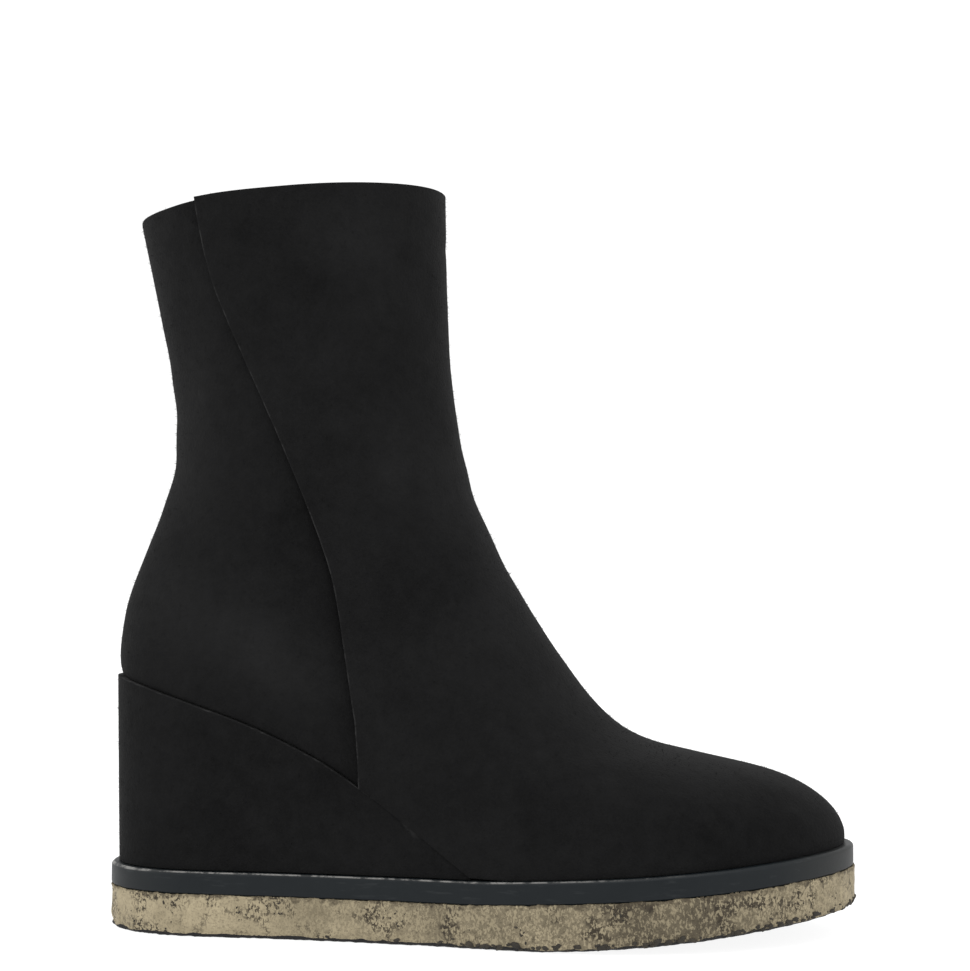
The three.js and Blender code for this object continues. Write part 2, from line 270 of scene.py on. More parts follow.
def move_points(data: MeshData, lift: Rows) -> None:
    """Moves each point along its normal by its own distance."""
    write_points(data, read_points(data) + read_points(data, "normal") * lift[:, None])


def paint(data: MeshData, name: str, values: Rows) -> None:
    """Stores a value for each point, which a material reads by its name."""
    layer = data.attributes.new(name, "FLOAT", "POINT")
    layer.data.foreach_set("value", np.asarray(values, np.float32))


def cloud(places: Rows, grain: float, seed: float, depth: int = 3) -> Rows:
    """Soft noise of about -1 to 1 at each place, with lumps as large as the grain."""
    shift = Vector((seed, 2 * seed, 3 * seed))
    return np.array([noise.fractal(Vector(place) / grain + shift, 1.0, 2.0, depth)
                     for place in places])


def soft_step(values: Rows, low: float, high: float) -> Rows:
    """Goes smoothly from 0 at low to 1 at high."""
    share = np.clip((values - low) / (high - low), 0, 1)
    return share * share * (3 - 2 * share)


def side_share(places: Rows, side: Side) -> Rows:
    """Share of a mark that shows at each place, by the side that it lies on."""
    if side is Side.BOTH:
        return np.ones(len(places))
    return 0.5 + 0.5 * np.tanh(side.value * places[:, 1] / SIDE_BLEND)


def make_piece(name: str, data: MeshData, finishes: list[Material], slot: Slot,
               node: str | None = None) -> Item:
    """Makes a piece of the boot that rides on its body.

    Args:
        name: Name of the piece.
        data: Finished mesh data.
        finishes: Materials in the order of the mesh's material numbers.
        slot: Slot of the record, which is only logged.
        node: CAD node that the piece stands for.

    Returns:
        The new object.
    """
    data.name = name
    for finish in finishes:
        data.materials.append(finish)
    piece = placed(name, data)
    data.shade_smooth()
    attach(piece, BODY)
    if node:
        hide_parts(node)
    LOG.info("%s: %d faces, slot %s, stands for %s", name, len(data.polygons), slot.value, node)
    return piece


# Shape of the boot that several pieces share


@dataclass(frozen=True)
class Last:
    """Main lines of the boot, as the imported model's source gives them.

    Only the panel's edge differs: at the collar it lies up to 1 mm further forward.
    """

    feather_length: float = 0.2514
    wedge_foot: float = 0.0220
    collar_back: float = 0.2427
    spring_start: float = 0.0258
    sole_tip: float = 0.129
    toe_spring: float = 0.0102
    crepe_taper: float = 0.0024
    crepe_swell: float = 0.0012
    swell_length: float = 0.032
    rand_top: float = 0.0217
    rand_height: float = 0.0079
    spring_bend: float = 1.3
    edge_steps: int = 8
    panel_edge: tuple[Point, ...] = (
        (0.121, 1.06), (0.1293, 1.0), (0.1388, 0.945), (0.1533, 0.885), (0.176, 0.823),
        (0.2125, 0.732), (0.2485, 0.641), (0.2815, 0.551), (0.3105, 0.461), (0.323, 0.4),
        (0.3335, 0.327), (0.342, 0.265), (0.349, 0.21), (0.3505, 0.125), (0.3505, -0.05))

    def to_edge(self, points: list[Vert], sign: int) -> None:
        """Moves points along x by their place on the panel's back edge, or back again."""
        for point, x in zip(points, self.edge_at(np.array([point.co.z for point in points]))):
            point.co.x += sign * x

    def edge_at(self, height: Rows) -> Rows:
        """Place of the front panel's back edge along the boot.

        Args:
            height: Heights above the floor.

        Returns:
            The edge's x at each height.
        """
        rows = np.array(self.panel_edge)
        ends = np.vstack([2 * rows[0] - rows[1], rows, 2 * rows[-1] - rows[-2]])
        t = np.linspace(0, 1, self.edge_steps, endpoint=False)[:, None]
        line = np.vstack([start + 0.5 * t * (end - before
                                             + t * (2 * before - 5 * start + 4 * end - after
                                                    + t * (3 * (start - end) + after - before)))
                          for before, start, end, after in zip(ends, ends[1:], ends[2:],
                                                               ends[3:])])[::-1]
        x = (line[:, 0] - 0.5) * self.feather_length
        z = self.wedge_foot + line[:, 1] * (self.collar_back - self.wedge_foot)
        return np.interp(height, z, x)

    def spring_at(self, x: Rows) -> Rows:
        """Share of the toe spring that the sole has risen to along the boot."""
        share = np.clip((x - self.spring_start) / (self.sole_tip - self.spring_start), 0, None)
        return share ** self.spring_bend

    def sole_foot(self, x: Rows) -> Rows:
        """Height of the sole's underside along the boot."""
        return self.toe_spring * self.spring_at(x)

    def rand_crown(self, x: Rows) -> Rows:
        """Height of the rand's top along the boot."""
        swell = self.crepe_swell * soft_step(x, 0.0, self.swell_length)
        return self.rand_top + (self.toe_spring - self.crepe_taper) * self.spring_at(x) + swell


LAST = Last()


@dataclass(frozen=True)
class Fold:
    """A soft crease in the suede, along a line in the side view, in millimetres."""

    path_mm: tuple[Point, ...]
    width_mm: float
    depth_mm: float
    side: Side = Side.BOTH

    def lift(self, places: Rows) -> Rows:
        """Lift of the surface.

        Args:
            places: Rows of x, y and z.

        Returns:
            Distances along the normal, below zero in the trough.
        """
        flat = places[:, (0, 2)] / MM
        gap = np.full(len(flat), np.inf)
        for start, end in zip(self.path_mm, self.path_mm[1:]):
            run = np.subtract(end, start)
            share = np.clip((flat - start) @ run / (run @ run), 0, 1)
            gap = np.minimum(gap, np.linalg.norm(flat - start - share[:, None] * run, axis=1))
        gap = gap / self.width_mm
        wave = 0.35 * np.exp(-(gap - 1.9) ** 2 * 1.6) - np.exp(-gap ** 2)
        return self.depth_mm * MM * wave * side_share(places, self.side)


@dataclass(frozen=True)
class Patch:
    """A lighter or darker patch of the suede, in millimetres of the side view: mostly painted
    light and shade, partly nap lay and scuffs.
    """

    x_mm: float
    z_mm: float
    across_mm: float
    up_mm: float
    shade: float
    lean: float = 0.0
    side: Side = Side.BOTH

    def shade_at(self, places: Rows) -> Rows:
        """Shade that the patch adds at each place, above zero where it is lighter."""
        x, z = places[:, 0] / MM - self.x_mm, places[:, 2] / MM - self.z_mm
        turn = math.radians(self.lean)
        along = (x * math.cos(turn) + z * math.sin(turn)) / self.across_mm
        above = (z * math.cos(turn) - x * math.sin(turn)) / self.up_mm
        return self.shade * np.exp(-along ** 2 - above ** 2) * side_share(places, self.side)


FOLDS = (
    Fold(((-33, 232), (-25, 224), (-19, 211)), 3.2, 0.55, Side.OUTER),
    Fold(((-17, 236), (-21, 226), (-18, 219)), 2.6, 0.4),
    Fold(((-60, 219), (-52, 215), (-45, 216)), 4.0, 0.35, Side.OUTER),
    Fold(((-16, 163), (-30, 158), (-46, 160)), 6.0, 0.4),
    Fold(((-8, 146), (-24, 138), (-40, 139)), 6.5, 0.45),
    Fold(((4, 121), (-8, 112), (-24, 110)), 6.0, 0.3),
    Fold(((-106, 176), (-92, 170), (-78, 173)), 6.0, 0.4),
    Fold(((-106, 158), (-90, 153), (-72, 155)), 7.0, 0.45),
    Fold(((-116, 121), (-92, 119), (-66, 108), (-50, 88)), 7.0, 0.35),
    Fold(((22, 88), (34, 72), (52, 58)), 9.0, 0.35),
    Fold(((40, 58), (30, 45), (26, 32)), 9.0, 0.3, Side.INNER),
    Fold(((-30, 205), (-44, 196), (-58, 199)), 6.0, 0.3, Side.INNER),
)

# Mostly painted light and shade: lighter where light falls on the suede, darker in its creases;
# the rest is nap lay, and the small bright patches on the outer side are real scuffs.
PATCHES = tuple(Patch(*row) for row in (
    (-80, 100, 26, 14, 0.85, -18), (-104, 116, 12, 16, 0.4), (-62, 84, 12, 8, 0.55, -30),
    (-96, 178, 9, 20, 0.55), (-99, 150, 8, 12, 0.4), (-92, 222, 9, 9, 0.25),
    (-43, 233, 15, 13, 0.55), (-29, 155, 6, 11, 0.5), (-14, 152, 9, 22, 0.4, 25),
    (8, 103, 9, 13, 0.45, 35), (30, 78, 15, 6, 0.5, -42), (60, 60, 22, 5, 0.35, -20),
    (103, 47, 9, 4, -0.1, -22), (106, 43, 3, 1.2, 0.5, -25, Side.OUTER), (-48, 190, 9, 7, 0.25),
    (-22, 112, 12, 8, -0.2), (-12, 92, 14, 8, 0.2), (-77, 236, 15, 9, -0.3),
    (-53, 216, 9, 6, -0.4), (-60, 138, 12, 16, -0.35), (-24, 228, 5, 9, -0.35, -35),
    (-30, 186, 14, 10, -0.2), (-20, 128, 14, 14, -0.25), (-47, 53, 10, 9, -0.45),
    (28, 44, 34, 12, -0.25), (90, 38, 26, 11, -0.6), (-91, 76, 3.4, 1.0, 0.8, -22, Side.OUTER),
    (-86, 75, 3.0, 0.8, 0.5, -30, Side.OUTER), (-110, 60, 12, 22, 0.15),
    (-84, 46, 20, 20, -0.15)))


@dataclass(frozen=True)
class Hide:
    """The lay of the suede and the light and shade painted on it, shared by every piece that is
    cut from it.
    """

    grain: float = 26 * MM
    slack: float = 0.22 * MM
    smooth_foot: Point = (2 * MM, 16 * MM)
    collar_rise: float = 0.9 * MM
    rise_back: Point = (-62 * MM, -96 * MM)
    rise_up: Point = (222 * MM, 240 * MM)
    shadow_up: Point = (170 * MM, 120 * MM)

    def creased(self, data: MeshData) -> None:
        """Puts the soft creases and the slight unevenness of a lasted upper in a surface."""
        places = read_points(data)
        lift = sum(fold.lift(places) for fold in FOLDS)
        lift = lift + self.slack * cloud(places, self.grain, 4.7, 2)
        foot = soft_step(places[:, 2] - LAST.wedge_foot, *self.smooth_foot)
        move_points(data, lift * foot)
        places = read_points(data)
        back = soft_step(places[:, 0], *self.rise_back)
        places[:, 2] += self.collar_rise * back * soft_step(places[:, 2], *self.rise_up)
        write_points(data, places)

    def shaded(self, data: MeshData, under_panel: bool = False, shade: float = 0.0) -> None:
        """Stores the painted light and shade of the suede at each point, with its nap lay and
        scuffs.

        Args:
            data: Mesh data to paint.
            under_panel: Paints a shadow on the strip behind the front panel's edge.
            shade: Shade of the whole piece.
        """
        places = read_points(data)
        nap_and_shade = shade + sum(patch.shade_at(places) for patch in PATCHES)
        if under_panel:
            # Painted shadow of the front panel's edge on the suede behind it, wider and darker
            # lower down.
            behind = (LAST.edge_at(places[:, 2]) - places[:, 0]) / MM
            low = soft_step(places[:, 2], *self.shadow_up)
            nap_and_shade = nap_and_shade - (0.35 + 0.45 * low) * np.exp(-np.clip(behind, 0, None) / (2.5 + 3.5 * low))
        paint(data, "nap_and_shade", nap_and_shade)


# Materials


class Wiring:
    """Adds nodes to one tree and joins them."""

    def __init__(self, tree: bpy.types.NodeTree) -> None:
        """Starts on a tree."""
        self.tree = tree

    def add(self, kind: str, feeds: dict[object, object] | None = None,
            **settings: object) -> bpy.types.Node:
        """Adds a node.

        Args:
            kind: Type of the node.
            feeds: A value or another node's output for each named or numbered input.
            settings: Values of the node itself.

        Returns:
            The new node.
        """
        node = self.tree.nodes.new(kind)
        for name, value in settings.items():
            setattr(node, name, value)
        self.feed(node, feeds or {})
        return node

    def feed(self, node: bpy.types.Node, feeds: dict[object, object]) -> None:
        """Sets or joins some inputs of a node.

        Args:
            node: Node to feed.
            feeds: A value or another node's output for each input.
        """
        for name, value in feeds.items():
            if isinstance(value, Socket):
                self.tree.links.new(value, node.inputs[name])
            else:
                node.inputs[name].default_value = value

    def maths(self, operation: str, *values: object, clamp: bool = False) -> Socket:
        """Adds a Math node and gives its output."""
        return self.add("ShaderNodeMath", dict(enumerate(values)), operation=operation,
                        use_clamp=clamp).outputs[0]

    def times(self, *values: object) -> Socket:
        """Multiplies two values."""
        return self.maths("MULTIPLY", *values)

    def times_plus(self, *values: object) -> Socket:
        """Multiplies two values and adds a third."""
        return self.maths("MULTIPLY_ADD", *values)

    def stepped(self, value: object, low: float, high: float) -> Socket:
        """Goes smoothly from 0 where the value is low to 1 where it is high."""
        return self.add("ShaderNodeMapRange", {0: value, 1: low, 2: high},
                        interpolation_type="SMOOTHSTEP").outputs[0]

    def mixed(self, share: object, first: object, second: object) -> Socket:
        """Mixes two colours."""
        feeds = {0: share, 6: rgba(first), 7: rgba(second)}
        return self.add("ShaderNodeMix", feeds, data_type="RGBA").outputs[2]

    def noise(self, place: object, scale: float, detail: float = 3.0, roughness: float = 0.5,
              warp: float = 0.0) -> Socket:
        """Adds a noise texture and gives its value."""
        return self.add("ShaderNodeTexNoise", {"Vector": place, "Scale": scale, "Detail": detail,
                        "Roughness": roughness, "Distortion": warp}).outputs["Fac"]


def rgba(value: object) -> object:
    """Adds the fourth value that a colour input takes."""
    return (*value, 1.0) if isinstance(value, tuple) else value


def new_group(name: str, inputs: dict[str, float | None],
              result: str) -> tuple[Wiring, list[Socket], Socket]:
    """Makes an empty node group.

    Args:
        name: Name of the group.
        inputs: Starting value of each number that it takes, or None for a vector.
        result: Socket type of what it gives.

    Returns:
        The wiring of the group, the sockets to take from and the socket to fill.
    """
    tree = bpy.data.node_groups.new(name, "ShaderNodeTree")
    for label, value in inputs.items():
        kind = "NodeSocketVector" if value is None else "NodeSocketFloat"
        socket = tree.interface.new_socket(label, in_out="INPUT", socket_type=kind)
        if value is not None:
            socket.default_value = value
    tree.interface.new_socket("Result", in_out="OUTPUT", socket_type=result)
    wiring = Wiring(tree)
    source, sink = wiring.add("NodeGroupInput"), wiring.add("NodeGroupOutput")
    return wiring, source.outputs[:len(inputs)], sink.inputs[0]


class Effects:
    """Node groups that more than one material uses, each built once."""

    def __init__(self) -> None:
        """Builds the groups."""
        self.blotches = self._blotches()
        self.grain = self._grain()

    @staticmethod
    def _blotches() -> bpy.types.NodeTree:
        """Soft cloudy patches with finer ones inside, as a value about 0.5."""
        inputs = {"Vector": None, "Scale": 40.0, "Contrast": 1.0}
        wiring, sockets, result = new_group("blotches", inputs, "NodeSocketFloat")
        vector, scale, contrast = sockets
        broad = wiring.noise(vector, scale, 2.0, 0.5, 0.4)
        fine = wiring.noise(vector, wiring.times(scale, 4.3), 4.0, 0.6, 0.2)
        both = wiring.times_plus(fine, 0.4, wiring.times(broad, 0.6))
        spread = wiring.times(wiring.maths("SUBTRACT", both, 0.5), contrast)
        wiring.tree.links.new(wiring.maths("ADD", spread, 0.5, clamp=True), result)
        return wiring.tree

    @staticmethod
    def _grain() -> bpy.types.NodeTree:
        """Fine relief of fibres, pores or scratches, as a normal."""
        inputs = {"Vector": None, "Scale": 900.0, "Roughness": 0.6, "Strength": 0.3,
                  "Distance": 0.0005, "Normal": None}
        wiring, sockets, result = new_group("grain", inputs, "NodeSocketVector")
        vector, scale, roughness, strength, distance, normal = sockets
        height = wiring.noise(vector, scale, 4.0, roughness)
        feeds = {"Strength": strength, "Distance": distance, "Height": height, "Normal": normal}
        wiring.tree.links.new(wiring.add("ShaderNodeBump", feeds).outputs[0], result)
        return wiring.tree


@dataclass
class Finish(Wiring):
    """A procedural material, which adds nodes to its own tree."""

    name: str
    roughness: float
    specular: float
    sheen: float = 0.0
    shader: bpy.types.Node = field(init=False)
    material: Material = field(init=False)
    place: Socket = field(init=False)

    def __post_init__(self) -> None:
        """Starts the material and sets what is the same all over it."""
        self.material = bpy.data.materials.new(self.name)
        self.material.use_nodes = True
        super().__init__(self.material.node_tree)
        self.shader = self.tree.nodes["Principled BSDF"]
        self.feed(self.shader, {"Roughness": self.roughness, "Specular IOR Level": self.specular,
                                "Sheen Weight": self.sheen, "Sheen Roughness": 0.45})
        self.place = self.add("ShaderNodeTexCoord").outputs["Object"]

    def effect(self, group: bpy.types.NodeTree, **feeds: object) -> Socket:
        """Adds a shared effect at the piece's own coordinates and gives its first output."""
        feeds = {"Vector": self.place, **feeds}
        return self.add("ShaderNodeGroup", feeds, node_tree=group).outputs[0]

    def painted(self, name: str) -> Socket:
        """Reads a value that the piece's points carry."""
        return self.add("ShaderNodeAttribute", attribute_name=name).outputs["Fac"]

    def stretched(self, *scale: float) -> Socket:
        """Gives the piece's own coordinates, scaled along each axis."""
        feeds = {"Vector": self.place, "Scale": scale}
        return self.add("ShaderNodeMapping", feeds).outputs[0]

    def shade(self, **sockets: object) -> None:
        """Joins outputs to the shader's inputs; an underscore stands for a space."""
        self.feed(self.shader, {name.replace("_", " "): value for name, value in sockets.items()})


class Suede(Finish):
    """Black suede in soft patches of nap lay and painted light and shade, with a painted highlight
    on its edges.
    """

    DARK: Colour = (0.0046, 0.0046, 0.0047)
    LIGHT: Colour = (0.0148, 0.0148, 0.0150)
    HIGHLIGHT: Colour = (0.040, 0.040, 0.0395)

    def __init__(self, effects: Effects) -> None:
        """Wires the suede."""
        super().__init__("black_suede", 0.96, 0.04, sheen=0.03)
        patches = self.effect(effects.blotches, Scale=42.0, Contrast=1.7)
        small = self.effect(effects.blotches, Scale=230.0, Contrast=1.9)
        fibres = self.noise(self.place, 1500.0, 3.0, 0.7)
        # The patches' painted light and shade, with the nap lay and scuffs, set the suede's tone
        # here.
        share = self.times_plus(self.painted("nap_and_shade"), 0.42, 0.36)
        for part, weight in ((patches, 0.38), (small, 0.3), (fibres, 0.55)):
            swing = self.maths("SUBTRACT", part, 0.5)
            share = self.times_plus(swing, weight, share)
        share = self.maths("ADD", share, 0.0, clamp=True)
        colour = self.mixed(share, self.DARK, self.LIGHT)
        # Painted highlight along the front panel's cut edge and the wedge's top edge, broken into
        # dashes by noise.
        broken = self.stepped(self.noise(self.place, 150.0, 4.0, 0.68), 0.46, 0.62)
        edge_highlight = self.times(self.painted("rim"), self.times_plus(broken, 0.85, 0.12))
        colour = self.mixed(edge_highlight, colour, self.HIGHLIGHT)
        nap_and_shade = self.effect(effects.grain, Scale=1100.0, Strength=0.55, Distance=0.0006)
        soft = self.effect(effects.grain, Scale=210.0, Strength=0.25, Distance=0.0010, Normal=nap_and_shade)
        self.shade(Base_Color=colour, Normal=soft)


class TwoTone(Finish):
    """A plain finish of two colours in soft patches, with a fine relief."""

    def __init__(self, effects: Effects, name: str, roughness: float, specular: float,
                 shades: tuple[Colour, Colour], patches: Point, relief: Place,
                 sheen: float = 0.0) -> None:
        """Wires the finish.

        Args:
            effects: Shared node groups.
            name: Name of the material.
            roughness: Roughness of the surface.
            specular: Strength of its shine.
            shades: Dark and light colour.
            patches: Scale and contrast of the patches.
            relief: Scale, strength and distance of the relief.
            sheen: Weight of the sheen.
        """
        super().__init__(name, roughness, specular, sheen)
        scale, contrast = patches
        share = self.effect(effects.blotches, Scale=scale, Contrast=contrast)
        scale, strength, distance = relief
        normal = self.effect(effects.grain, Scale=scale, Strength=strength, Distance=distance)
        self.shade(Base_Color=self.mixed(share, *shades), Normal=normal)


class SlateLeather(Finish):
    """Satin slate leather of the rand, with painted reflections at its ends and a light top edge,
    partly its own colour and partly a painted highlight.
    """

    DARK: Colour = (0.0036, 0.0058, 0.0074)
    LIGHT: Colour = (0.0078, 0.0104, 0.0121)
    END_REFLECTION: Colour = (0.030, 0.030, 0.028)
    SCRATCH: Colour = (0.05, 0.054, 0.056)
    LIP: Colour = (0.23, 0.225, 0.215)

    def __init__(self, effects: Effects) -> None:
        """Wires the leather."""
        super().__init__("slate_rand", 0.46, 0.18)
        patches = self.effect(effects.blotches, Scale=60.0, Contrast=1.6)
        colour = self.mixed(patches, self.DARK, self.LIGHT)
        along = self.add("ShaderNodeSeparateXYZ", {0: self.place}).outputs[0]
        # Painted reflection of the side lights at both ends of the rand, stronger at the toe.
        ends = self.stepped(self.maths("ABSOLUTE", along), 0.094, 0.126)
        toe = self.times_plus(self.stepped(along, 0.0, 0.1), 0.32, 0.17)
        colour = self.mixed(self.times(ends, toe), colour, self.END_REFLECTION)
        brushed = self.noise(self.stretched(0.15, 0.3, 1.0), 700.0, 3.0, 0.6)
        scratches = self.times(self.stepped(brushed, 0.58, 0.72), 0.16)
        colour = self.mixed(scratches, colour, self.SCRATCH)
        # Light line on the top edge, partly the edge's own colour and partly a painted highlight,
        # fading out towards the toe.
        fade = self.stepped(along, 0.085, 0.0)
        dashes = self.stepped(self.noise(self.place, 260.0, 4.0, 0.65), 0.40, 0.58)
        edge_highlight = self.times(fade, self.times_plus(dashes, 0.7, 0.12))
        edge_highlight = self.times(edge_highlight, self.painted("lip"))
        colour = self.mixed(edge_highlight, colour, self.LIP)
        rough = self.times_plus(patches, 0.2, 0.38)
        relief = self.effect(effects.grain, Scale=650.0, Strength=0.12, Distance=0.0003)
        self.shade(Base_Color=colour, Roughness=rough, Normal=relief)


class CrepeRubber(Finish):
    """Natural crepe rubber: tan, with clustered pits and cracks, grime mixed with painted shade, a
    darker band under the rand and a black tread skin that also paints the contact shadow.
    """

    TAN: tuple[Colour, Colour] = ((0.215, 0.179, 0.112), (0.400, 0.338, 0.221))
    GRIME_AND_SHADE: Colour = (0.055, 0.046, 0.029)
    SPECKLE: Colour = (0.075, 0.060, 0.036)
    MARK: Colour = (0.022, 0.016, 0.009)
    UNDER_RAND_DARK: Colour = (0.050, 0.038, 0.022)
    SKIN_AND_CONTACT_SHADOW: Colour = (0.0075, 0.0075, 0.0077)

    def __init__(self, effects: Effects) -> None:
        """Wires the rubber."""
        super().__init__("natural_crepe", 0.72, 0.3)
        # Grime along the sole, mixed with painted shade.
        grime_and_shade = self.painted("grime_and_shade")
        patches = self.effect(effects.blotches, Scale=55.0, Contrast=2.4)
        colour = self.grimy_and_shaded(self.mixed(patches, *self.TAN), grime_and_shade)
        dark = self.marked(grime_and_shade)
        colour = self.mixed(dark, colour, self.MARK)
        height = self.maths("SUBTRACT", self.noise(self.place, 420.0, 4.0, 0.6), dark)
        feeds = {"Strength": 0.6, "Distance": 0.0007, "Height": height}
        relief = self.add("ShaderNodeBump", feeds).outputs[0]
        rough = self.times_plus(patches, 0.15, 0.65)
        self.shade(Base_Color=self.edged(colour), Roughness=rough, Normal=relief)

    def grimy_and_shaded(self, colour: Socket, grime_and_shade: Socket) -> Socket:
        """Darkens the rubber where grime and painted shade lie, and gives it fine speckles."""
        colour = self.mixed(self.times(grime_and_shade, 0.6), colour, self.GRIME_AND_SHADE)
        speckle = self.stepped(self.noise(self.place, 1300.0, 3.0, 0.65), 0.50, 0.68)
        speckle = self.times(speckle, self.times_plus(grime_and_shade, 0.5, 0.4))
        return self.mixed(speckle, colour, self.SPECKLE)

    def marked(self, grime_and_shade: Socket) -> Socket:
        """Share of dots, pits and cracks, which stand in clusters and where the grime and painted
        shade lie.
        """
        clusters = self.stepped(self.noise(self.place, 105.0, 3.0, 0.6), 0.44, 0.62)
        grimy_and_shaded = self.maths("MULTIPLY", grime_and_shade, 1.1, clamp=True)
        clusters = self.maths("MAXIMUM", clusters, grimy_and_shaded)
        upright = self.stretched(1.5, 1.5, 0.75)
        dots = self.times_plus(grime_and_shade, 0.105, self.noise(upright, 1000.0, 2.0, 0.5))
        dots = self.stepped(dots, 0.562, 0.59)
        pits = self.times_plus(grime_and_shade, 0.055, self.noise(self.place, 640.0, 4.0, 0.66))
        pits = self.stepped(pits, 0.560, 0.586)
        marks = self.maths("MAXIMUM", self.times(dots, 0.9), pits)
        marks = self.times(marks, self.times_plus(clusters, 0.9, 0.06))
        return self.maths("MAXIMUM", self.times(self.cracked(clusters), 0.7), marks)

    def edged(self, colour: Socket) -> Socket:
        """Darkens a ragged band just under the rand, and adds the black skin along the tread that
        also paints the contact shadow.
        """
        ragged = self.noise(self.place, 300.0, 4.0, 0.65)
        # Darker ragged band just under the rand.
        under_rand_dark = self.stepped(self.times_plus(self.painted("under"), 0.3, ragged), 0.70, 0.86)
        colour = self.mixed(self.times(under_rand_dark, 0.7), colour, self.UNDER_RAND_DARK)
        # Black skin along the tread: partly a real dark tread layer and partly painted contact
        # shadow.
        tread = self.maths("SUBTRACT", self.painted("tread"), 0.45)
        tread = self.stepped(self.times_plus(ragged, 0.9, tread), 0.46, 0.56)
        return self.mixed(tread, colour, self.SKIN_AND_CONTACT_SHADOW)

    def cracked(self, share: Socket) -> Socket:
        """Fine cracks between lumps, only where the share is high."""
        feeds = {"Vector": self.place, "Scale": 240.0, "Detail": 3.0}
        warp = self.add("ShaderNodeTexNoise", feeds).outputs["Color"]
        bent = self.add("ShaderNodeVectorMath", {0: warp, 1: (0.004,) * 3}, operation="MULTIPLY")
        feeds = {0: self.place, 1: bent.outputs[0]}
        place = self.add("ShaderNodeVectorMath", feeds, operation="ADD").outputs[0]
        cells = self.add("ShaderNodeTexVoronoi", {"Vector": place, "Scale": 330.0},
                         feature="DISTANCE_TO_EDGE")
        line = self.stepped(cells.outputs["Distance"], 0.075, 0.03)
        gate = self.stepped(self.noise(self.place, 310.0, 2.0, 0.5), 0.52, 0.6)
        return self.times(self.times(line, gate), share)


@dataclass(frozen=True)
class Finishes:
    """Every material of the boot."""

    suede: Material
    cut_edge: Material
    rand: Material
    crepe: Material
    crumb: Material
    lining: Material

    @classmethod
    def build(cls) -> "Finishes":
        """Builds the shared groups and then each material."""
        effects = Effects()
        return cls(
            suede=Suede(effects).material,
            cut_edge=TwoTone(effects, "suede_cut_edge", 0.9, 0.2,
                             ((0.011, 0.011, 0.0115), (0.040, 0.0395, 0.039)),
                             (120.0, 2.2), (1400.0, 0.5, 0.0004), sheen=0.1).material,
            rand=SlateLeather(effects).material,
            crepe=CrepeRubber(effects).material,
            crumb=TwoTone(effects, "dark_crumb", 0.8, 0.3,
                          ((0.014, 0.0135, 0.012), (0.05, 0.042, 0.03)),
                          (160.0, 2.0), (1500.0, 0.5, 0.0003)).material,
            lining=TwoTone(effects, "lining_leather", 0.6, 0.35,
                           ((0.022, 0.020, 0.0185), (0.038, 0.034, 0.031)),
                           (70.0, 1.3), (1000.0, 0.2, 0.0003)).material)


# Pieces


